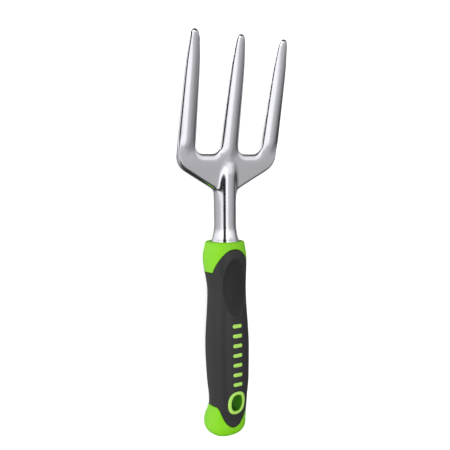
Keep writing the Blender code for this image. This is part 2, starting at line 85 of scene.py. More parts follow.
def on_bench(points):
    """Place on the bench = centre of the collar's face + x, y and z steps along the tool's own axes."""
    return FACE_CENTRE + np.asarray(points) @ TOOL_AXES


print("collar face centre:", FACE_CENTRE.round(5), "tool points along", AHEAD.round(4))

# %% [markdown]
# ## From arrays to a closed piece
#
# A handle, a rim or a rounded bar is a stack of rings: a grid of points with one row for each ring.
# Neighbours in the grid share a four-sided face. A stack either closes on itself like a tyre, or ends in a
# pole at both ends. If the enclosed volume comes out negative the faces point inwards, so they are all turned
# round. A grid keeps every shape a formula, where modelling by hand would keep only its result.

# %% Grids and meshes
CREASE = math.radians(50)  # edges sharper than this are shaded as edges
POLE_CLOSENESS = 1e-7



def volume_of(points, faces):
    """Sum over the faces' triangles of a · (b x c) / 6, which is negative for a skin that is inside out."""
    total = 0.0
    for last in range(2, faces.shape[1]):
        a, b, c = points[faces[:, 0]], points[faces[:, last - 1]], points[faces[:, last]]
        total += np.einsum("ij,ij->i", a, np.cross(b, c)).sum() / 6
    return total


def piece_from(name, points, faces, finish, darkened=None):
    """Put the arrays into a mesh, facing outwards, and let the piece ride on the tool. The last argument is 1
    on points that the finish turns darker.
    """
    if volume_of(points, faces) < 0:
        faces = faces[:, ::-1]
    mesh = bpy.data.meshes.new(name)
    mesh.from_pydata(on_bench(points).tolist(), [], faces.tolist())
    if darkened is not None:
        mesh.attributes.new("darkened", "FLOAT", "POINT").data.foreach_set("value", darkened.astype(np.float32))
    mesh.validate()
    mesh.shade_smooth()
    mesh.set_sharp_from_angle(angle=CREASE)
    mesh.materials.append(finish)
    piece = bpy.data.objects.new(name, mesh)
    bpy.context.scene.collection.objects.link(piece)
    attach(piece, "root")
    return piece


def ring_faces(rows, around, closes):
    """Four corners of each patch between ring i and ring i + 1, for the whole stack at once."""
    i = np.arange(rows if closes else rows - 1)[:, None]
    j = np.arange(around)[None, :]
    this, after = i * around, (i + 1) % rows * around
    beside = (j + 1) % around
    return np.stack([this + j, this + beside, after + beside, after + j], axis=-1).reshape(-1, 4)


def close_poles(piece, apart):
    """Merge the points that a pole's ring brings together, so that the skin is closed there."""
    work = bmesh.new()
    work.from_mesh(piece.data)
    bmesh.ops.remove_doubles(work, verts=work.verts, dist=apart)
    bmesh.ops.dissolve_degenerate(work, edges=work.edges, dist=apart)
    work.to_mesh(piece.data)
    work.free()
    piece.data.shade_smooth()


def report(piece):
    """Print a piece's faces and its size along x, y and z of the bench."""
    size = np.ptp(np.array([corner[:] for corner in piece.bound_box]), axis=0) * 1000
    print(f"{piece.name}: {len(piece.data.polygons)} faces, {size.round(1)} mm")


# %% [markdown]
# ## Shader maths as Python
#
# A finish is a graph of nodes. Wrapping a node's output in a small class with overloaded operators lets a
# pattern be written as an expression, such as `1 - mask * 0.5`, and each operator adds its Math node.

# %% Wires and graphs


class Wire:
    """One output of a node. Arithmetic on it adds Math nodes."""

    def __init__(self, graph, socket):
        self.graph = graph
        self.socket = socket

    def math(self, operation, *values):
        return self.graph.node("ShaderNodeMath", {"operation": operation}, dict(enumerate(values)))

    def __add__(self, other):
        return self.math("ADD", self, other)

    def __sub__(self, other):
        return self.math("SUBTRACT", self, other)

    def __rsub__(self, other):
        return self.math("SUBTRACT", other, self)

    def __mul__(self, other):
        return self.math("MULTIPLY", self, other)

    def __truediv__(self, other):
        return self.math("DIVIDE", self, other)

    __radd__ = __add__
    __rmul__ = __mul__


class Graph:
    """A node tree that is being filled."""

    def __init__(self, tree):
        self.tree = tree

    def node(self, kind, settings=None, values=None, output=0):
        """Add a node: its settings first, then the values or links of its sockets, by name or by number."""
        made = self.tree.nodes.new(kind)
        for name, value in (settings or {}).items():
            if name == "stops":
                ramp_stops(made.color_ramp, value)
            else:
                setattr(made, name, value)
        for key, value in (values or {}).items():
            if isinstance(value, Wire):
                self.tree.links.new(value.socket, made.inputs[key])
            else:
                made.inputs[key].default_value = value
        return Wire(self, made.outputs[output])

    def mix(self, share, one, other):
        """Colour mix: one where share is 0, other where it is 1. Colours go into sockets 6 and 7."""
        return self.node("ShaderNodeMix", {"data_type": "RGBA"}, {0: share, 6: one, 7: other}, output=2)


def ramp_stops(ramp, stops):
    """Fill a colour ramp with (position, grey) stops."""
    while len(ramp.elements) > 1:
        ramp.elements.remove(ramp.elements[-1])
    for number, (position, grey) in enumerate(stops):
        element = ramp.elements[0] if number == 0 else ramp.elements.new(position)
        element.position = position
        element.color = (grey, grey, grey, 1.0)


def rgba(red, green, blue):
    """An opaque colour."""
    return (red, green, blue, 1.0)


def new_finish(name, metallic=0.0):
    """An empty Principled material and the graph that will feed it."""
    made = bpy.data.materials.new(name)
    made.use_nodes = True
    shader = made.node_tree.nodes["Principled BSDF"]
    shader.inputs["Metallic"].default_value = metallic
    return made, shader, Graph(made.node_tree)


def feed(graph, shader, **wires):
    """Link wires to the shader's sockets, named with underscores for spaces."""
    for name, wire in wires.items():
        graph.tree.links.new(wire.socket, shader.inputs[name.replace("_", " ")])


def place_on(graph):
    """Object coordinates, which are metres from the piece's origin."""
    return graph.node("ShaderNodeTexCoord", output=3)


def noise(graph, scale, detail=3.0):
    """Noise between 0 and 1 in the piece's own space, scale being cells a metre."""
    return graph.node("ShaderNodeTexNoise", {}, {"Vector": place_on(graph), "Scale": scale, "Detail": detail})


def bump(graph, height, distance, strength=1.0):
    """Tilt the normal by the slope of height times distance."""
    return graph.node("ShaderNodeBump", {}, {"Height": height, "Distance": distance, "Strength": strength})


# %% [markdown]
# ## Finish of the casting
#
# The head is die-cast aluminium, tumbled and buffed. It mirrors the studio in long soft-edged stripes, but a
# buffing wheel leaves faint waves and hair-fine lines that run with the tines. The waves come from a coarse
# noise and the lines from one that is stretched along the tool. Both only tilt the normal a little, because
# lines cut into the mesh itself would need millions of faces.

# %% Buffed aluminium
CLOUDS = 55.0  # patches of slightly different shade, a metre
WAVES = 130.0
LINE_STRETCH = (35.0, 1600.0, 1600.0)  # lines a metre along the tool, and across it
BUFFING_DEPTH = 0.00003


def buffed_aluminium():
    """Light grey metal, roughness 0.11 to 0.20, with faint waves and fine lines along the tool."""
    made, shader, graph = new_finish("buffed_aluminium", metallic=1.0)
    cloud = noise(graph, CLOUDS, 4.0)
    places = {"Vector": place_on(graph), "Scale": LINE_STRETCH}
    stretched = graph.node("ShaderNodeMapping", {"vector_type": "POINT"}, places)
    lines = graph.node("ShaderNodeTexNoise", {}, {"Vector": stretched, "Scale": 1.0, "Detail": 2.0})
    waves = noise(graph, WAVES, 1.0)
    tint = graph.mix(cloud, rgba(0.78, 0.78, 0.84), rgba(0.86, 0.86, 0.91))
    height = lines * 0.05 + waves
    feed(
        graph,
        shader,
        Base_Color=tint,
        Roughness=0.105 + cloud * 0.06 + lines * 0.04,
        Normal=bump(graph, height, BUFFING_DEPTH, 0.5),
    )
    return made


ALUMINIUM = buffed_aluminium()
print(f"{ALUMINIUM.name}: {len(ALUMINIUM.node_tree.nodes)} nodes")

# %% [markdown]
# ## Finishes of the handle
#
# The hard first shot is a lime green plastic with a satin skin: a fine spark-eroded grain, a little colour
# drift where the melt cooled unevenly, and no clear coat. The rim of the hang hole and the marks are the same
# shot, given a paler copy of the green: a painted highlight for the light on their raised edges. The soft
# second shot is a dark grey rubber with a slightly deeper grain. All three are one recipe with other numbers.
# Where a piece's points are marked, its colour turns darker: deep green on the walls inside the hang hole,
# which is painted shade, and near black in the thumb rest.

# %% Green plastic and grey rubber
DRIFTS = 40.0  # patches of slightly different colour, a metre
PORES = 2600.0
PLASTIC_GRAIN = 0.00003
RUBBER_GRAIN = 0.00005
LIME_DEEP, LIME_PALE = (0.205, 0.62, 0.006), (0.235, 0.66, 0.010)
# the trim greens are paler copies of the lime green, a painted highlight on the hang hole's rim and the marks;
# the trim's third colour is a painted shade for the walls inside the hole
TRIM_HIGHLIT_DEEP, TRIM_HIGHLIT_PALE, TRIM_PAINTED_SHADE = (0.40, 0.75, 0.11), (0.46, 0.79, 0.14), (0.055, 0.27, 0.004)
# the grey's third colour is the darker one that the thumb rest is given
GREY_DEEP, GREY_PALE, GREY_THUMB_REST = (0.022, 0.022, 0.0235), (0.026, 0.026, 0.0275), (0.012, 0.012, 0.013)


def moulded_plastic(name, deep, pale, roughness, grain, darker_colour=None):
    """Colour drifts from deep to pale and turns darker on marked points, roughness rises with the drift, and a
    fine grain stands in relief.
    """
    made, shader, graph = new_finish(name)
    shader.inputs["Specular IOR Level"].default_value = 0.45
    drift = noise(graph, DRIFTS, 3.0)
    pores = noise(graph, PORES, 2.0)
    colour = graph.mix(drift, rgba(*deep), rgba(*pale))
    # marked points turn to the darker colour: painted shade on the walls inside the hang hole, and a darker
    # thumb rest
    if darker_colour is not None:
        darkened = graph.node("ShaderNodeAttribute", {"attribute_name": "darkened"}, output=2)
        colour = graph.mix(darkened, colour, rgba(*darker_colour))
    feed(
        graph,
        shader,
        Base_Color=colour,
        Roughness=roughness + drift * 0.08 + pores * 0.05,
        Normal=bump(graph, pores, grain, 0.6),
    )
    return made


GREEN = moulded_plastic("lime_plastic", LIME_DEEP, LIME_PALE, 0.34, PLASTIC_GRAIN)
GREEN_WITH_PAINTED_LIGHT = moulded_plastic("lime_painted_highlight_and_shade", TRIM_HIGHLIT_DEEP, TRIM_HIGHLIT_PALE, 0.34, PLASTIC_GRAIN, TRIM_PAINTED_SHADE)
RUBBER = moulded_plastic("grip_rubber", GREY_DEEP, GREY_PALE, 0.38, RUBBER_GRAIN, GREY_THUMB_REST)
for finish in (GREEN, GREEN_WITH_PAINTED_LIGHT, RUBBER):
    print(f"{finish.name}: {len(finish.node_tree.nodes)} nodes")

# %% [markdown]
# ## The casting
#
# Tines, yoke, neck and nose run into each other with no seam, so no stack of rings would hold them all, and a
# subdivided cage would blur its thin edges. The casting is made the way a pattern maker thinks of it: a
# distance from each simple form, and a fillet where two forms meet. The first helpers are that fillet, a
# curve through named sizes, and the distance to an oval.

# %% Fillets, curves and ovals


def smooth_min(a, b, blend):
    """The smaller of two distances, less a bump of height blend / 4 where they are equal: a fillet."""
    share = np.clip(0.5 + 0.5 * (b - a) / blend, 0, 1)
    return b + (a - b) * share - blend * share * (1 - share)


def smooth_max(a, b, blend):
    """The larger of two distances, rounded over in the same way."""
    return -smooth_min(-a, -b, blend)


def smooth_through(knots, values, wanted):
    """Cubic Hermite curve through the knots, with no overshoot where a value turns back."""
    steps = np.diff(knots)
    slopes = np.diff(values) / steps
    tangents = np.zeros(len(values))
    turning = slopes[:-1] * slopes[1:] > 0
    mean = 2 * slopes[:-1] * slopes[1:] / np.where(turning, slopes[:-1] + slopes[1:], 1)
    tangents[1:-1] = np.where(turning, mean, 0)
    tangents[0] = slopes[0]
    wanted = np.clip(wanted, knots[0], knots[-1])
    span = np.clip(np.searchsorted(knots, wanted, side="right") - 1, 0, len(knots) - 2)
    t = (wanted - knots[span]) / steps[span]
    rise = values[span] * (1 + 2 * t) * (1 - t) ** 2 + values[span + 1] * t**2 * (3 - 2 * t)
    lean = tangents[span] * t * (1 - t) ** 2 + tangents[span + 1] * t**2 * (t - 1)
    return rise + lean * steps[span]


def oval_field(a, b, half_a, half_b, power):
    """Distance to |a / half_a|^power + |b / half_b|^power = 1, to first order: (g - 1) / slope of g."""
    u, v = np.abs(a) / half_a, np.abs(b) / half_b
    g = np.maximum((u**power + v**power) ** (1 / power), 1e-6)
    slope = np.sqrt((u ** (power - 1) / half_a) ** 2 + (v ** (power - 1) / half_b) ** 2) * g ** (1 - power)
    return (g - 1) / np.maximum(slope, 1e-6)


# %% [markdown]
# The head is bent: the tines point to the thumb side of the handle's axis. Every form is drawn flat, about a
# middle surface, and the height of the bend is taken off first. The bend is a parabola from just ahead of the
# collar up to the crotch, the place where two tines part, and a straight line from there to the tips.

# %% The bend
BEND_FROM_FACE = 0.015
BEND_RATE = 2.1
CROTCH = 0.0667


def bend(x):
    """Straight near the handle, then rate times distance squared up to the crotch, then straight on."""
    curved = np.clip(x, BEND_FROM_FACE, CROTCH) - BEND_FROM_FACE
    slope = 2 * BEND_RATE * (CROTCH - BEND_FROM_FACE)
    return BEND_RATE * curved**2 + slope * np.clip(x - CROTCH, 0, None)


print("the bend lifts the crotch by", (bend(CROTCH) * 1000).round(1), "mm")

# %% [markdown]
# ## Tines
#
# A tine is a long bar that narrows to a blunt tip. Its front is a low roof with a softly rounded ridge, which
# splits the light into a bright and a dull slope, and its back is a fuller oval, which gives the bar its
# strength. It fades out at its start, down on the yoke.

# %% One tine
HEAD_REACH = 0.1531
TINE_SPACING = 0.0372
TINE_SPLAY = 0.0014
TINE_FROM_TIP = np.array([0.0, 0.009, 0.023, 0.053, 0.085, 0.105])
TINE_HALF_WIDTH = np.array([0.00245, 0.0035, 0.0049, 0.0061, 0.0070, 0.0071])
ROOF_FLATNESS = 0.50  # height in front of the middle surface against half width
BACK_FLATNESS = 0.80
ROOF_POWER = 1.35  # 1 is a sharp roof with straight slopes, 2 an ellipse
BACK_POWER = 1.9
RIDGE_ROUND = 0.0007
TIP_ROUND = 0.0034
TINE_FADE = 0.02


def half_width(x):
    """Half width of a tine, from the curve through its sizes at some distances from the tip."""
    return smooth_through(TINE_FROM_TIP, TINE_HALF_WIDTH, HEAD_REACH - x)


def outer_middle(x):
    """How far to the side an outer tine's middle is: the spacing, and a splay that grows towards the tip."""
    return TINE_SPACING + TINE_SPLAY * np.clip((x - CROTCH) / (HEAD_REACH - CROTCH), 0, 1)


def tine_field(x, y, z, centre, start):
    """Roof oval in front, back oval behind, cut off at the tip and faded out at the start."""
    half = half_width(x)
    off_ridge = np.hypot(y - centre, RIDGE_ROUND) - RIDGE_ROUND
    roof = oval_field(off_ridge, z, half, half * ROOF_FLATNESS, ROOF_POWER)
    back = oval_field(y - centre, z, half, half * BACK_FLATNESS, BACK_POWER)
    bar = np.where(z > 0, roof, back)
    return smooth_max(smooth_max(bar, x - HEAD_REACH, TIP_ROUND), start - x, TINE_FADE)


# %% [markdown]
# ## Yoke
#
# The yoke is the plate that carries the tines. Its outline is two slanting lower edges and two flanks, and
# the two gaps between the tines end in it as round-cornered slots. Its outer edges are rolled, and its faces
# fall towards the ends of the slots, down to a thin web. A narrow strip of the plate runs back under the nose.

# %% The yoke's outline
CROTCH_CORNER = 0.0078
FLANK_INSET = 0.0005  # the plate's flank lies this far inside the outer tine's edge
YOKE_START = np.array([0.0386, 0.0083])  # distance ahead and half width where the yoke leaves the neck
YOKE_LEAN = 0.54  # how far the lower edge climbs for each step outwards
CORNER_BLEND = 0.008
NECK_WAIST = 0.0084
STRIP_MIDDLE = 0.045  # the strip under the nose: its middle, half length and share of the neck's width
STRIP_HALF_LENGTH = 0.015
STRIP_SHARE = 0.9
STRIP_ROUND = 0.004
STRIP_BLEND = 0.006


def yoke_outlines(x, y):
    """Distances outside the yoke's slanting lower edge and flanks, and into the round ends of the gaps."""
    half = half_width(x)
    below = YOKE_START[0] + YOKE_LEAN * (y - YOKE_START[1]) - x
    below = below / math.hypot(1, YOKE_LEAN)
    beside = y - (outer_middle(x) + half - FLANK_INSET)
    gap_middle = TINE_SPACING / 2
    gap_half = gap_middle - half
    side = np.abs(y - gap_middle) - (gap_half - CROTCH_CORNER)
    floor = (CROTCH + CROTCH_CORNER) - x
    corner = np.hypot(np.clip(side, 0, None), np.clip(floor, 0, None))
    gap = corner + np.minimum(np.maximum(side, floor), 0) - CROTCH_CORNER
    plate = smooth_max(below, beside, CORNER_BLEND)
    along_strip = np.abs(x - STRIP_MIDDLE) - STRIP_HALF_LENGTH
    strip = smooth_max(y - NECK_WAIST * STRIP_SHARE, along_strip, STRIP_ROUND)
    return smooth_min(plate, strip, STRIP_BLEND), -gap


# %% The yoke's faces
YOKE_FRONT = 0.0030  # the yoke's front face over the middle surface
YOKE_BACK = 0.0044
EDGE_ROLL = 0.0028  # how far in from its edge the yoke's face begins to roll over
ROLL_LOSS = 0.65  # the roll gets narrower by this share towards the tines
ROLL_EASE_START = 0.054
ROLL_EASE_LENGTH = 0.012
WEB_EDGE = 0.0006  # half thickness of the web between two tines, at the end of the gap
WEB_SLOPE = 0.60  # how steeply the yoke's face falls to that edge
WEB_ROUND = 0.001
WEB_BLEND = 0.0018
FADE_START = 0.056  # from here the plate thins out under the tines
FADE_LENGTH = 0.026
PLATE_SHORT_OF_TIP = 0.003
PLATE_END_ROUND = 0.004


def yoke_field(x, y, z):
    """A plate with rolled outer edges, whose faces slope down to a thin web at the ends of the gaps."""
    outline, gap = yoke_outlines(x, y)
    roll = EDGE_ROLL * (1 - ROLL_LOSS * np.clip((x - ROLL_EASE_START) / ROLL_EASE_LENGTH, 0, 1))
    inward = np.clip(outline + roll, 0, None)
    fade = np.clip((x - FADE_START) / FADE_LENGTH, 0, 1)
    half = np.where(z > 0, YOKE_FRONT, YOKE_BACK)
    half = half + (WEB_EDGE - half) * fade * fade * (3 - 2 * fade)
    plate = oval_field(inward, z, roll, half, 2.0)
    web = (np.abs(z) - WEB_EDGE + WEB_SLOPE * np.minimum(gap, 0)) / math.hypot(1, WEB_SLOPE)
    web = smooth_max(web, gap, WEB_ROUND)
    end = x - (HEAD_REACH - PLATE_SHORT_OF_TIP)
    return smooth_max(smooth_max(plate, web, WEB_BLEND), end, PLATE_END_ROUND)


# %% [markdown]
# ## Neck, nose and tang
#
# The neck is a round bar that flares where it sits in the collar, and ends in a rounded nose lying on the
# yoke. Behind the collar it goes on as a flat tang, hidden in the handle, with two lock holes that fill with
# plastic. The neck and the nose follow only a tenth of the bend, so the yoke's face rises past the nose and
# ends it.

# %% Neck and tang
NECK_RADIUS = 0.0086
NECK_FOOT = 0.0108
NECK_FLARE = 0.014
NECK_LIFT = 0.1  # how much of the bend the neck and the nose follow
NOSE_BASE = 0.048
NOSE_LENGTH = 0.0205
SOCKET_DEPTH = 0.006
FOOT_ROUND = 0.0005
TANG_REACH = 0.056
TANG_HALF_WIDTH = 0.0065
TANG_HALF_DEPTH = 0.00425
TANG_ROUND = 0.002
TANG_HOLES = (0.020, 0.042)
TANG_HOLE_RADIUS = 0.0028
TANG_HOLE_ROUND = 0.0008


def neck_field(x, y, z):
    """Distance to the axis less a radius: the foot's flare, then a slow climb, then an oval for the nose."""
    radius = np.hypot(y, z)
    flare = np.clip(1 - x / NECK_FLARE, 0, 1)
    climb = np.clip((x - NECK_FLARE) / (NOSE_BASE - NECK_FLARE), 0, 1)
    width = NECK_WAIST + (NECK_FOOT - NECK_WAIST) * flare**2 + (NECK_RADIUS - NECK_WAIST) * climb
    bar = radius - np.where(x < 0, NECK_FOOT, width)
    nose = oval_field(radius, np.clip(x - NOSE_BASE, 0, None), NECK_RADIUS, NOSE_LENGTH, 2.0)
    return smooth_max(np.where(x < NOSE_BASE, bar, nose), -SOCKET_DEPTH - x, FOOT_ROUND)


def tang_field(x, y, z):
    """The flat bar inside the handle, less its two lock holes."""
    ends = np.maximum(-TANG_REACH - x, x + SOCKET_DEPTH / 2)
    bar = smooth_max(np.abs(y) - TANG_HALF_WIDTH, np.abs(z) - TANG_HALF_DEPTH, TANG_ROUND)
    bar = smooth_max(bar, ends, TANG_ROUND)
    for behind in TANG_HOLES:
        bar = smooth_max(bar, TANG_HOLE_RADIUS - np.hypot(x + behind, y), TANG_HOLE_ROUND)
    return bar


# %% All forms together
MIDDLE_TINE_START = 0.052
OUTER_TINE_START = 0.058
TINE_FILLET = 0.0016
NOSE_FILLET = 0.0026
TANG_FILLET = 0.0005


def head_field(x, y, z):
    """All the forms of the casting joined with fillets. Both halves are the same, so y is taken as |y|."""
    y = np.sqrt(y * y + 1e-10)
    level = z - bend(x)
    plate = yoke_field(x, y, level)
    middle = tine_field(x, y, level, 0.0, MIDDLE_TINE_START)
    outer = tine_field(x, y, level, outer_middle(x), OUTER_TINE_START)
    flat = smooth_min(smooth_min(plate, middle, TINE_FILLET), outer, TINE_FILLET)
    head = smooth_min(flat, neck_field(x, y, z - NECK_LIFT * bend(x)), NOSE_FILLET)
    return smooth_min(head, tang_field(x, y, z), TANG_FILLET)


print("tines are", (2000 * TINE_HALF_WIDTH).round(1), "mm wide, from the tip to the root")

# %% [markdown]
# A skin is drawn over the field with a surface net. Space is cut into small cubes, each cube that the surface
# passes through gets one point, and each grid edge that crosses the surface gets a four-sided face between
# the points of the four cubes round it. The points then slide onto the exact surface: each moves along the
# field's slope by the field's value, and between those steps it moves towards the middle of its neighbours.

# %% Surface net
SLOPE_STEP = 1e-5
LONGEST_MOVE = 0.0005
FLATTEST_SLOPE = 0.05  # least slope squared that a step is divided by


def net_of(field, low, high, step):
    """Points and faces of the surface where field is zero, one point a cell."""
    axes = [np.arange(a, b + step, step) for a, b in zip(low, high)]
    across, up = np.meshgrid(axes[1], axes[2], indexing="ij")
    values = np.stack([field(np.full_like(across, x), across, up) for x in axes[0]])
    inside = values < 0
    corners = [(i, j, k) for i in (0, 1) for j in (0, 1) for k in (0, 1)]
    nx, ny, nz = (n - 1 for n in values.shape)
    count = sum(inside[i : i + nx, j : j + ny, k : k + nz].astype(int) for i, j, k in corners)
    mixed = (count > 0) & (count < 8)
    number = np.full(mixed.shape, -1)
    number[mixed] = np.arange(mixed.sum())
    cells = np.argwhere(mixed)
    total, hits = np.zeros((len(cells), 3)), np.zeros(len(cells))
    quads = []
    for axis in range(3):
        along = np.eye(3, dtype=int)[axis]
        for corner in corners:
            if corner[axis]:
                continue
            start = values[tuple((cells + corner).T)]
            end = values[tuple((cells + corner + along).T)]
            crosses = (start < 0) != (end < 0)
            share = np.where(crosses, start / np.where(crosses, start - end, 1), 0)
            total += (np.array(corner) + share[:, None] * along) * crosses[:, None]
            hits += crosses
        first = np.moveaxis(inside, axis, 0)
        edges = np.argwhere(np.moveaxis(first[:-1] != first[1:], 0, axis))
        outwards = inside[tuple(edges.T)]
        one, other = np.eye(3, dtype=int)[(axis + 1) % 3], np.eye(3, dtype=int)[(axis + 2) % 3]
        ring = [number[tuple((edges - back).T)] for back in (0 * one, one, one + other, other)]
        quad = np.stack(ring, axis=1)
        quads.append(np.where(outwards[:, None], quad, quad[:, ::-1]))
    points = np.array([a[0] for a in axes]) + step * (cells + total / hits[:, None])
    return points, np.concatenate(quads)


def onto(field, points, rounds):
    """Newton steps: move by minus the field's value times its slope, over the slope's length squared."""
    sides = SLOPE_STEP * np.eye(3)
    for _ in range(rounds):
        value = field(*points.T)
        slope = np.stack([field(*(points + side).T) - field(*(points - side).T) for side in sides], 1)
        slope /= 2 * SLOPE_STEP
        length = np.maximum((slope**2).sum(axis=1), FLATTEST_SLOPE)
        move = slope * (value / length)[:, None]
        points = points - np.clip(move, -LONGEST_MOVE, LONGEST_MOVE)
    normal = slope / np.sqrt(length)[:, None]
    return points, normal


def evened(field, points, quads, rounds):
    """Half a step towards the mean of the neighbours, without its part along the normal, and back onto it."""
    one, other = quads.ravel(), np.roll(quads, 1, axis=1).ravel()
    ends = np.concatenate([one, other]), np.concatenate([other, one])
    share = np.bincount(ends[0], minlength=len(points))
    for _ in range(rounds):
        points, normal = onto(field, points, 2)
        mean = np.stack([np.bincount(ends[0], points[ends[1], i], len(points)) for i in range(3)], 1)
        pull = mean / share[:, None] - points
        pull -= (pull * normal).sum(axis=1)[:, None] * normal
        points = points + pull / 2
    return onto(field, points, 3)[0]


# %% Casting
NET_LOW = (-0.064, -0.047, -0.012)
NET_HIGH = (0.156, 0.047, 0.03)
NET_STEP = 0.00053
EVENING_ROUNDS = 9

net_points, net_quads = net_of(head_field, NET_LOW, NET_HIGH, NET_STEP)
net_points = evened(head_field, net_points, net_quads, EVENING_ROUNDS)
casting = piece_from("casting", net_points, net_quads, ALUMINIUM)
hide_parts("fork_head")
report(casting)

# %% [markdown]
# ## The handle's skin
#
# One smooth form runs from the collar to the pommel, and both shots share it. Each section is two half ovals,
# one for the thumb side and one for the finger side, and the sizes glide through a few named stations. Each
# station's three sizes are half the width, the height on the thumb side and the depth on the finger side.

# %% Sizes of the handle
HANDLE_LENGTH = 0.1549
SECTION_POWER = 2.3
RIM_SECTION = (NECK_FOOT + 0.0040, NECK_FOOT + 0.0022, NECK_FOOT + 0.0038)
GUARD_SECTION = (0.0166, 0.0146, 0.01695)
WAIST_SECTION = (0.0148, 0.0151, 0.0123)
BELLY_SECTION = (0.0168, 0.0171, 0.0141)
REAR_SECTION = (0.0162, 0.0171, 0.0128)
THROAT_SECTION = (0.0146, 0.0156, 0.0114)
POMMEL_SECTION = (0.0164, 0.0122, 0.0176)
STATIONS = np.array(
    [
        (0.0, *RIM_SECTION),
        (0.0127, *GUARD_SECTION),
        (0.0385, *WAIST_SECTION),
        (0.08197, *BELLY_SECTION),
        (0.106, *REAR_SECTION),
        (0.126, *THROAT_SECTION),
        (0.1425, *POMMEL_SECTION),
    ]
)
DOME_POWER = 2.5


def section_at(behind):
    """Half width, upright half height and middle of the section, shrinking as a dome behind the pommel."""
    along = np.minimum(behind, STATIONS[-1, 0])
    width, height, depth = (smooth_through(STATIONS[:, 0], STATIONS[:, i], along) for i in (1, 2, 3))
    past = np.clip((behind - STATIONS[-1, 0]) / (HANDLE_LENGTH - STATIONS[-1, 0]), 0, 1)
    dome = (1 - past**DOME_POWER) ** (1 / DOME_POWER)
    return width * dome, (height + depth) / 2 * dome, (height - depth) / 2


# %% [markdown]
# The thumb rest is a shallow bowl in the skin, oval in plan, with a fine raised bead round it. In its lower
# end lie a few fine ribs, which are arcs about one centre. Cut into the mesh, they catch the light as real
# ones do, where a bump in the finish would look flat from the side.

# %% Thumb rest
THUMB_CENTRE = 0.0345
THUMB_HALF_LENGTH = 0.0225
THUMB_HALF_WIDTH = 0.0105
THUMB_DEPTH = 0.0019
BEAD_HEIGHT = 0.00022
BEAD_REACH = 1.03  # the bead's place, where the bowl's rim is 1
BEAD_WIDTH = 0.035
RIB_CENTRE = 0.0405
RIB_PITCH = 0.0019
RIB_HEIGHT = 0.00016
RIB_OVAL = 1.1
RIB_REACH = 0.0105
RIB_HALF_WIDTH = 0.0055
RIB_FADE = 0.002


def thumb_reach(behind, y):
    """Distance from the middle of the thumb rest in shares of its half sizes: 1 on its rim."""
    return np.hypot((behind - THUMB_CENTRE) / THUMB_HALF_LENGTH, y / THUMB_HALF_WIDTH)


def thumb_rest(behind, y):
    """Bowl: depth times 1 - reach^4, less a bell curve for the bead, plus a cosine of the ribs' radius."""
    reach = thumb_reach(behind, y)
    bead = BEAD_HEIGHT * np.exp(-(((reach - BEAD_REACH) / BEAD_WIDTH) ** 2))
    bowl = THUMB_DEPTH * np.clip(1 - reach**4, 0, 1) - bead
    ring = np.hypot(behind - RIB_CENTRE, y * RIB_OVAL)
    low = np.clip((behind - RIB_CENTRE) / RIB_FADE, 0, 1) * np.clip((RIB_REACH - ring) / RIB_FADE, 0, 1)
    narrow = np.clip(1 - (y / RIB_HALF_WIDTH) ** 2, 0, 1)
    return bowl + RIB_HEIGHT * low * narrow * np.cos(2 * math.pi * ring / RIB_PITCH)


# %% The skin as a function of two numbers


def skin(behind, turn, sink=0.0):
    """Half ovals: y = w sign(cos) |cos|^(2/p), z = middle + h sign(sin) |sin|^(2/p), less the thumb rest."""
    behind, turn = np.broadcast_arrays(behind, turn)
    width, upright, middle = section_at(behind)
    cosine, sine = np.cos(turn), np.sin(turn)
    y = (width - sink) * np.sign(cosine) * np.abs(cosine) ** (2 / SECTION_POWER)
    z = middle + (upright - sink) * np.sign(sine) * np.abs(sine) ** (2 / SECTION_POWER)
    z = z - np.where(sine > 0, thumb_rest(behind, y), 0)
    return np.stack([-behind, y, z], axis=-1)


def skin_height(behind, y, side):
    """Height of the skin over a place, on the thumb side (side 1) or the finger side (side -1)."""
    width, upright, middle = section_at(behind)
    lift = upright * (1 - np.clip(np.abs(y) / width, 0, 1) ** SECTION_POWER) ** (1 / SECTION_POWER)
    return middle + side * lift - (thumb_rest(behind, y) if side > 0 else 0)


# %% [markdown]
# ## The seams
#
# The two shots meet along two curved seams. Green tongues reach back along each flank from the collar and
# forward from the pommel, and the soft skin fills the lobes between them. Both edges are rounded, so that a
# fine dark groove follows the seam. A ring needs no straight edge, so a seam is simply the place behind the
# collar's face where each column of the grid ends.

# %% Where the shots meet
SLEEVE_WALL = 0.0024
COLLAR_LOBE = 0.0056
COLLAR_TONGUE = 0.0236
POMMEL_TONGUE = 0.1278
POMMEL_LOBE = 0.1448
TONGUE_HALF_TURN = math.radians(18)
SEAM_HALF_GAP = 0.00022
EDGE_ROUND = 0.00045
AROUND = 256

TURN = np.linspace(0, 2 * math.pi, AROUND, endpoint=False)
OFF_FLANK = np.arcsin(np.abs(np.sin(TURN)))
CLIMB = np.clip((OFF_FLANK - TONGUE_HALF_TURN) / (math.pi / 2 - TONGUE_HALF_TURN), 0, 1)
FRONT_SEAM = COLLAR_TONGUE - (COLLAR_TONGUE - COLLAR_LOBE) * np.sin(CLIMB * math.pi / 2)
REAR_SEAM = POMMEL_TONGUE + (POMMEL_LOBE - POMMEL_TONGUE) * CLIMB**2 * (3 - 2 * CLIMB)


def rows_between(first, last, count, sink=0.0):
    """Rings from first to last, both of which may differ round the handle."""
    share = np.linspace(0, 1, count)[:, None]
    return list(skin(first + (last - first) * share, TURN[None, :], sink))


def rolled_edge(edge, way, steps=5):
    """Quarter circle from the skin down into a seam: way 1 where the piece ends, -1 where it begins."""
    angle = np.linspace(0, math.pi / 2, steps)[1:]
    rows = []
    for a in angle:
        short, sink = EDGE_ROUND * (1 - math.sin(a)), EDGE_ROUND * (1 - math.cos(a))
        rows.append(skin(edge - way * short, TURN, sink))
    return rows if way > 0 else rows[::-1]


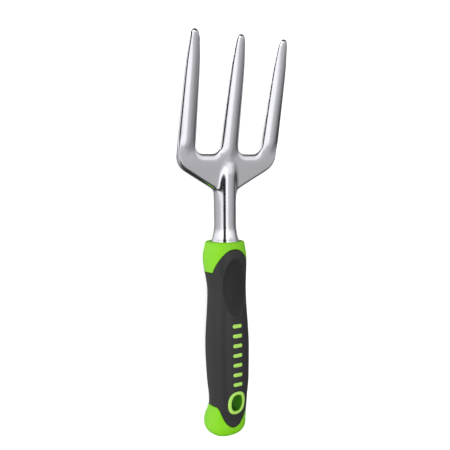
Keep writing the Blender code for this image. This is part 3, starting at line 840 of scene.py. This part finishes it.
def ring_of(radius, behind):
    """A circle round the tool's axis."""
    level = np.full(AROUND, -behind)
    return np.stack([level, radius * np.cos(TURN), radius * np.sin(TURN)], axis=-1)


# %% [markdown]
# ## The soft skin
#
# The sleeve is a closed shell: outer skin from seam to seam, rolled edges, and an inner skin one wall deeper.
# Its outer rings lie half a millimetre apart, close enough for the bead and the ribs of the thumb rest. Its
# points in the thumb rest are marked, and there the finish makes the colour darker.

# %% Grip sleeve
SLEEVE_RINGS = 230
INNER_RINGS = 30
SIDE_DEPTH = 0.7  # share of the wall at which the end faces get a ring
PAD_EDGE = 12.0  # how sharply the pad ends at the rim of the thumb rest

front, rear = FRONT_SEAM + SEAM_HALF_GAP, REAR_SEAM - SEAM_HALF_GAP
sleeve_rows = [skin(front, TURN, SLEEVE_WALL * SIDE_DEPTH)]
sleeve_rows += rolled_edge(front, -1)
sleeve_rows += rows_between(front + EDGE_ROUND, rear - EDGE_ROUND, SLEEVE_RINGS)
sleeve_rows += rolled_edge(rear, 1)
sleeve_rows += [skin(rear, TURN, SLEEVE_WALL * SIDE_DEPTH)]
sleeve_rows += rows_between(rear, front, INNER_RINGS, SLEEVE_WALL)
sleeve_grid = np.array(sleeve_rows)
sleeve_faces = ring_faces(len(sleeve_grid), AROUND, closes=True)
sleeve_points = sleeve_grid.reshape(-1, 3)
sleeve_reach = thumb_reach(-sleeve_points[:, 0], sleeve_points[:, 1])
sleeve_pad = np.clip((1 - sleeve_reach) * PAD_EDGE, 0, 1) * (sleeve_points[:, 2] > 0)
sleeve = piece_from("soft_sleeve", sleeve_points, sleeve_faces, RUBBER, sleeve_pad)
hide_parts("grip_sleeve")
report(sleeve)

# %% [markdown]
# ## The hard core
#
# Collar, barrel and pommel are one moulding. Its rings start at a pole in the bottom of the neck's seat, come
# out over the chamfer and the collar's rim, dive under the sleeve along the barrel, and surface again as the
# pommel, which closes in a pole at the very end.

# %% Handle core
RIM_ROUND = 0.0012
SEAT_RADIUS = NECK_FOOT + 0.00025
SEAT_CHAMFER = 0.0006
SEAT_BELOW_CHAMFER = 0.001
BARREL_DEPTH = SLEEVE_WALL + 0.0001  # the barrel keeps this far under the skin, just clear of the sleeve
STEP_DEPTH = SLEEVE_WALL * 0.8
DOME_START = STATIONS[-1, 0] + 0.003
COLLAR_RINGS, BARREL_RINGS, POMMEL_RINGS, DOME_RINGS = 60, 24, 36, 40

seam_front, seam_rear = FRONT_SEAM - SEAM_HALF_GAP, REAR_SEAM + SEAM_HALF_GAP
quarter = np.linspace(0, math.pi / 2, 7)
rim_rows = [skin(RIM_ROUND * (1 - math.cos(a)), TURN, RIM_ROUND * (1 - math.sin(a))) for a in quarter]
mouth = ring_of(SEAT_RADIUS + SEAT_CHAMFER, 0.0)
core_rows = [ring_of(0.0, SOCKET_DEPTH)]
core_rows += [ring_of(SEAT_RADIUS, depth) for depth in (SOCKET_DEPTH, SEAT_BELOW_CHAMFER)]
for a in quarter:
    wider, depth = SEAT_CHAMFER * (1 - math.cos(a)), SEAT_CHAMFER * (1 - math.sin(a))
    core_rows.append(ring_of(SEAT_RADIUS + wider, depth))
core_rows += [mouth + (rim_rows[0] - mouth) * share for share in (0.4, 0.8)]
core_rows += rim_rows
core_rows += rows_between(RIM_ROUND, seam_front - EDGE_ROUND, COLLAR_RINGS)[1:]
core_rows += rolled_edge(seam_front, 1)
core_rows += [skin(seam_front, TURN, STEP_DEPTH)]
core_rows += rows_between(seam_front, seam_rear, BARREL_RINGS, BARREL_DEPTH)
core_rows += [skin(seam_rear, TURN, STEP_DEPTH)]
core_rows += rolled_edge(seam_rear, -1)
core_rows += rows_between(seam_rear + EDGE_ROUND, DOME_START, POMMEL_RINGS)
dome_share = np.sin(np.linspace(0, math.pi / 2, DOME_RINGS))
dome = DOME_START + (HANDLE_LENGTH - DOME_START) * dome_share
core_rows += [skin(behind, TURN) for behind in dome[1:]]
core_grid = np.array(core_rows)
core_faces = ring_faces(len(core_grid), AROUND, closes=False)
core = piece_from("hard_core", core_grid.reshape(-1, 3), core_faces, GREEN)
close_poles(core, POLE_CLOSENESS)
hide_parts("handle_core")
report(core)

# %% [markdown]
# ## The hang hole
#
# A rounded oblong hole goes through the handle near its end, lined with the hard plastic, whose rim stands
# about half a millimetre proud of the soft skin on both sides. An upright prism cuts the way through the core
# and the sleeve with a Boolean modifier, because the grid of rings has no edges to follow there. The lining
# is a tyre-shaped ring whose height follows the skin all the way round.

# %% Outline of the hole
HOLE_BEHIND = 0.1244
HOLE_HALF = np.array([0.0066, 0.0048])
HOLE_SQUARENESS = 0.84
RIM_WIDTH = 0.0027
RIM_PROUD = 0.00045
RIM_EDGE = 0.0009
HOLE_POINTS = 96
HOLE_TURN = np.linspace(0, 2 * math.pi, HOLE_POINTS, endpoint=False)
CUT_REACH = 0.03  # the prism's half height
SLEEVE_TUCK = 0.0002  # how far each shot reaches into the lining, so that no gap shows
CORE_TUCK = 0.0006


def hole_outline(grow):
    """x = a sign(cos) |cos|^q and y = b sign(sin) |sin|^q, with both half sizes grown alike."""
    cosine, sine = np.cos(HOLE_TURN), np.sin(HOLE_TURN)
    x = (HOLE_HALF[0] + grow) * np.sign(cosine) * np.abs(cosine) ** HOLE_SQUARENESS
    y = (HOLE_HALF[1] + grow) * np.sign(sine) * np.abs(sine) ** HOLE_SQUARENESS
    return x - HOLE_BEHIND, y


def cut_through(piece, grow):
    """Take an upright prism of the hole's outline out of a piece."""
    x, y = hole_outline(grow)
    rings = np.array([np.stack([x, y, np.full_like(x, z)], axis=-1) for z in (-CUT_REACH, CUT_REACH)])
    walls = ring_faces(2, HOLE_POINTS, closes=False).tolist()
    work = bpy.data.meshes.new("way_through")
    caps = [list(range(HOLE_POINTS)), list(range(HOLE_POINTS, 2 * HOLE_POINTS))]
    work.from_pydata(on_bench(rings.reshape(-1, 3)).tolist(), [], walls + caps)
    tidy = bmesh.new()
    tidy.from_mesh(work)
    bmesh.ops.recalc_face_normals(tidy, faces=tidy.faces)
    tidy.to_mesh(work)
    tidy.free()
    prism = bpy.data.objects.new("way_through", work)
    bpy.context.scene.collection.objects.link(prism)
    cut = piece.modifiers.new("hang_hole", "BOOLEAN")
    cut.operation = "DIFFERENCE"
    cut.solver = "EXACT"
    cut.object = prism
    seen = piece.evaluated_get(bpy.context.evaluated_depsgraph_get())
    mesh = bpy.data.meshes.new_from_object(seen)
    piece.modifiers.clear()
    piece.data = mesh
    mesh.shade_smooth()
    mesh.set_sharp_from_angle(angle=CREASE)
    bpy.data.objects.remove(prism)
    report(piece)


cut_through(sleeve, RIM_WIDTH - SLEEVE_TUCK)
cut_through(core, RIM_WIDTH - CORE_TUCK)

# %% [markdown]
# The profile of the lining is a list of pairs: how far out from the hole's edge, and how far over the skin.
# It climbs the rim's outer side, turns over two rounded corners, and goes down inside. The thumb side's
# profile is joined to the finger side's by the walls of the hole, and those walls are marked, so that the
# finish paints shade on them.

# %% Lining and rim
RIM_FOOT = 0.0035  # the rim's outer side starts this deep under the skin
OUTER_EDGE_HEIGHT = RIM_EDGE * 0.5  # the outer corner is half as high as it is wide
WALL_RINGS = 12

corner = np.linspace(0, math.pi / 2, 6)
lining_profile = [(RIM_WIDTH, -RIM_FOOT)]
for a in corner:
    outer_step = RIM_EDGE * (1 - math.cos(a))
    lining_profile.append((RIM_WIDTH - outer_step, RIM_PROUD - OUTER_EDGE_HEIGHT * (1 - math.sin(a))))
for a in corner:
    lining_profile.append((RIM_EDGE * (1 - math.sin(a)), RIM_PROUD - RIM_EDGE * (1 - math.cos(a))))
lining_rows = []
for side in (1, -1):
    half = []
    for grow, lift in lining_profile:
        x, y = hole_outline(grow)
        half.append(np.stack([x, y, skin_height(-x, y, side) + side * lift], axis=-1))
    if side > 0:
        lining_rows += half
        top = half[-1]
    else:
        shares = np.linspace(0, 1, WALL_RINGS + 2)[1:-1]
        lining_rows += [top + (half[-1] - top) * share for share in shares]
        lining_rows += half[::-1]
lining_grid = np.array(lining_rows)
lining_faces = ring_faces(len(lining_grid), HOLE_POINTS, closes=True)
row_number = np.arange(len(lining_grid))
on_wall = (row_number >= len(lining_profile) - 1) & (row_number <= len(lining_profile) + WALL_RINGS)
# the walls inside the hole are marked for a painted shade
lining_painted_shade = np.repeat(on_wall, HOLE_POINTS)
lining_points = lining_grid.reshape(-1, 3)
# the lining's paler green is a painted highlight on its rim
lining = piece_from("hang_hole_lining", lining_points, lining_faces, GREEN_WITH_PAINTED_LIGHT, lining_painted_shade)
report(lining)

# %% [markdown]
# ## The marks
#
# Seven round-ended bars of the hard plastic come up through the soft skin in a row along the thumb side. Each
# is a stack of shrinking stadium outlines, and its top follows the handle's crown. All seven share one set of
# faces, so each bar's faces are the first one's with its own points' numbers added.

# %% Row of bars
MARK_LAST = 0.10945
MARK_PITCH = 0.00757
MARK_COUNT = 7
MARK_HALF_THICKNESS = 0.00155
MARK_HALF_WIDTH = 0.0041
MARK_PROUD = 0.0003
MARK_EDGE = 0.0005
MARK_FOOT = 0.0015  # the bar starts this deep under the skin
MARK_SHOULDER = 0.0010
STADIUM_POINTS = 48
STADIUM_TURN = np.linspace(0, 2 * math.pi, STADIUM_POINTS, endpoint=False) + math.pi / STADIUM_POINTS


def bar_rings(behind):
    """Stadium: a circle of radius r, its two halves moved apart by s, shrunk ring by ring up to the crown."""
    steps = [(MARK_HALF_THICKNESS, -MARK_FOOT), (0.0, -MARK_FOOT), (0.0, MARK_PROUD - MARK_EDGE)]
    for a in corner[1:]:
        steps.append((MARK_EDGE * (1 - math.cos(a)), MARK_PROUD - MARK_EDGE * (1 - math.sin(a))))
    steps += [(MARK_SHOULDER, MARK_PROUD), (MARK_HALF_THICKNESS, MARK_PROUD)]
    straight = MARK_HALF_WIDTH - MARK_HALF_THICKNESS
    rings = []
    for inward, lift in steps:
        radius = MARK_HALF_THICKNESS - inward
        x = radius * np.cos(STADIUM_TURN) - behind
        y = radius * np.sin(STADIUM_TURN) + straight * np.sign(np.sin(STADIUM_TURN))
        rings.append(np.stack([x, y, skin_height(-x, y, 1) + lift], axis=-1))
    return np.array(rings)


bar_grids = [bar_rings(MARK_LAST - MARK_PITCH * number) for number in range(MARK_COUNT)]
bar_faces = ring_faces(len(bar_grids[0]), len(STADIUM_TURN), closes=False)
bar_size = bar_grids[0].shape[0] * bar_grids[0].shape[1]
mark_points = np.concatenate([grid.reshape(-1, 3) for grid in bar_grids])
mark_faces = np.concatenate([bar_faces + bar_size * number for number in range(MARK_COUNT)])
# the marks' paler green is a painted highlight on their raised tops
marks = piece_from("thumb_side_marks", mark_points, mark_faces, GREEN_WITH_PAINTED_LIGHT)
close_poles(marks, POLE_CLOSENESS)
report(marks)

# %% [markdown]
# ## The studio
#
# Polished metal shows its surroundings more than itself. Round the tool stand two long white panels with a
# dark slot between them, a little to the left of the camera. That slot is the black line down the neck, and
# the panels are the white bands beside it. Away from the panels the walls get darker, which shades the rolled
# edges of the yoke. The pattern is a brightness for the direction right or left of the camera, times one for
# the direction up or down. First comes the camera, because the studio is laid out about it.

# %% Camera
CAMERA_DISTANCE = 0.5018
CAMERA_TURN = math.radians(32.1)  # the thumb side is turned this far to the right of the camera
CAMERA_PITCH = math.radians(4.7)  # and the tines lean this far towards it
CAMERA_ROLL = math.radians(0.44)
AIM_OFFSET = np.array([0.0002, -0.01224, 0.0])  # the collar's place, right and up of the view's middle
LENS = 51.76
SENSOR = 36.0
NEAREST = 0.01


def turned(axis, angle):
    """Rotation matrix about one of the three axes."""
    c, s = math.cos(angle), math.sin(angle)
    i, j = [(1, 2), (2, 0), (0, 1)][axis]
    matrix = np.eye(3)
    matrix[i, i], matrix[i, j], matrix[j, i], matrix[j, j] = c, -s, s, c
    return matrix


UPRIGHT = np.array([[0.0, -1.0, 0.0], [1.0, 0.0, 0.0], [0.0, 0.0, 1.0]])
VIEW = turned(2, CAMERA_ROLL) @ turned(0, CAMERA_PITCH) @ turned(1, CAMERA_TURN) @ UPRIGHT
RIGHT, UP, TOWARDS = VIEW @ TOOL_AXES
camera_place = on_bench(VIEW.T @ (np.array([0.0, 0.0, CAMERA_DISTANCE]) - AIM_OFFSET))

camera_data = bpy.data.cameras.new("camera")
camera_data.lens = LENS
camera_data.sensor_width = SENSOR
camera_data.clip_start = NEAREST
camera = bpy.data.objects.new("camera", camera_data)
bpy.context.scene.collection.objects.link(camera)
pose = np.eye(4)
pose[:3, :3] = np.stack([RIGHT, UP, TOWARDS], axis=1)
pose[:3, 3] = camera_place
camera.matrix_world = Matrix(pose.tolist())
bpy.context.scene.camera = camera
print("camera at", camera_place.round(4), "looking along", (-TOWARDS).round(3))

# %% [markdown]
# Each wall is a list of pairs: a direction in degrees, and a brightness. Sideways, 0 is towards the camera
# and minus is to its left. Upwards, 0 is level with the camera, and a bright strip just above it gives the
# nose and the edges of the slots their highlights.

# %% Walls of the studio
LEFT_WALL = [(-180, 0.10), (-150, 0.20), (-125, 0.40), (-95, 0.50), (-55, 0.62)]
LEFT_PANEL = [(-42, 0.92), (-20, 1.05)]
SLOT = [(-17, 0.010), (8, 0.010)]
RIGHT_PANEL = [(11, 1.30), (30, 1.10)]
RIGHT_WALL = [(38, 0.62), (64, 0.50), (90, 0.33), (108, 0.24)]
REAR_WALL = [(116, 0.05), (128, 0.05), (136, 0.26), (180, 0.12)]
SIDEWAYS = LEFT_WALL + LEFT_PANEL + SLOT + RIGHT_PANEL + RIGHT_WALL + REAR_WALL
BELOW = [(-90, 0.06), (-66, 0.10), (-48, 0.40), (-34, 0.92), (-10, 1.0)]
BRIGHT_STRIP = [(3, 1.05), (8, 2.0), (18, 2.0)]
ABOVE = [(26, 0.34), (50, 0.12), (90, 0.04)]
UPWARDS = BELOW + BRIGHT_STRIP + ABOVE
BRIGHTEST = 2.0


def degrees_ramp(graph, angle, stops, top):
    """Brightness for an angle: a ramp over a whole turn, its stops given in degrees."""
    share = angle / (2 * math.pi) + 0.5
    stops = [(stop / 360 + 0.5, value / top) for stop, value in stops]
    return graph.node("ShaderNodeValToRGB", {"stops": stops}, {0: share}) * top


def studio():
    """World light = brightness by sideways angle times brightness by upward angle."""
    world = bpy.data.worlds.new("studio")
    world.use_nodes = True
    bpy.context.scene.world = world
    graph = Graph(world.node_tree)
    direction = graph.node("ShaderNodeTexCoord")
    parts = []
    for axis in (RIGHT, UP, TOWARDS):
        values = {0: direction, 1: axis}
        parts.append(graph.node("ShaderNodeVectorMath", {"operation": "DOT_PRODUCT"}, values, output=1))
    right, up, towards = parts
    sideways = degrees_ramp(graph, right.math("ARCTAN2", right, towards), SIDEWAYS, BRIGHTEST)
    upwards = degrees_ramp(graph, up.math("ARCSINE", up), UPWARDS, BRIGHTEST)
    background = world.node_tree.nodes["Background"]
    graph.tree.links.new((sideways * upwards).socket, background.inputs["Color"])


studio()
print(len(SIDEWAYS), "brightnesses sideways and", len(UPWARDS), "upwards")

# %% [markdown]
# The floor is a wide sheet of matt paper that glows a little, so that the tool's shadow stays soft and pale.
# One broad lamp shines from the camera's side, so that the shadow falls behind the tool.

# %% Floor and lamp
FLOOR_HALF = 2.5
FLOOR_DROP = 0.0001  # the sheet lies just under the tool, so that nothing touches it
FLOOR_GLOW = 0.55
PAPER_DULL, PAPER_BRIGHT = (0.90, 0.90, 0.90), (0.93, 0.93, 0.93)
LAMP_STRENGTH = 1.5
LAMP_SPREAD = 24  # degrees


def pale_floor():
    """A wide matt sheet just under the tool, left out of the mirror images in the metal."""
    signs = ((-1, -1), (1, -1), (1, 1), (-1, 1))
    mesh = bpy.data.meshes.new("floor")
    mesh.from_pydata([(x * FLOOR_HALF, y * FLOOR_HALF, -FLOOR_DROP) for x, y in signs], [], [(0, 1, 2, 3)])
    made, shader, graph = new_finish("pale_paper")
    feed(graph, shader, Base_Color=graph.mix(noise(graph, 3.0), rgba(*PAPER_DULL), rgba(*PAPER_BRIGHT)))
    shader.inputs["Roughness"].default_value = 0.9
    shader.inputs["Emission Color"].default_value = rgba(1.0, 1.0, 1.0)
    shader.inputs["Emission Strength"].default_value = FLOOR_GLOW
    mesh.materials.append(made)
    floor = bpy.data.objects.new("floor", mesh)
    bpy.context.scene.collection.objects.link(floor)
    floor.visible_glossy = False
    floor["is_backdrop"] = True


def soft_lamp(name, towards, strength, angle):
    """A broad lamp a long way off, which lights but isn't mirrored."""
    lamp = bpy.data.lights.new(name, "SUN")
    lamp.energy = strength
    lamp.angle = math.radians(angle)
    holder = bpy.data.objects.new(name, lamp)
    holder.visible_glossy = False
    bpy.context.scene.collection.objects.link(holder)
    back = np.array(towards) / np.linalg.norm(towards)
    side = np.cross([1.0, 0.0, 0.0], back)
    side /= np.linalg.norm(side)
    matrix = np.eye(4)
    matrix[:3, :3] = np.stack([np.cross(side, back), side, back], axis=1)
    holder.matrix_world = Matrix(matrix.tolist())


pale_floor()
soft_lamp("beside_the_camera", TOWARDS, LAMP_STRENGTH, LAMP_SPREAD)
bpy.context.scene.view_settings.view_transform = "Standard"
print("floor", 2 * FLOOR_HALF, "m wide, one lamp of strength", LAMP_STRENGTH)

# %% [markdown]
# ## Last measure
#
# The box of the finished tool is measured, and how far its corners are off the frame's is printed in
# millimetres.

# %% Finish


def plain(box):
    """A box's two corners as plain lists of numbers."""
    return [[float(number) for number in corner] for corner in box]


looks_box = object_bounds()
moved = (np.array(plain(looks_box)) - np.array(plain(cad_box))) * 1000
print("the looks' two corners are off the frame's by, mm:", moved.round(2).tolist())
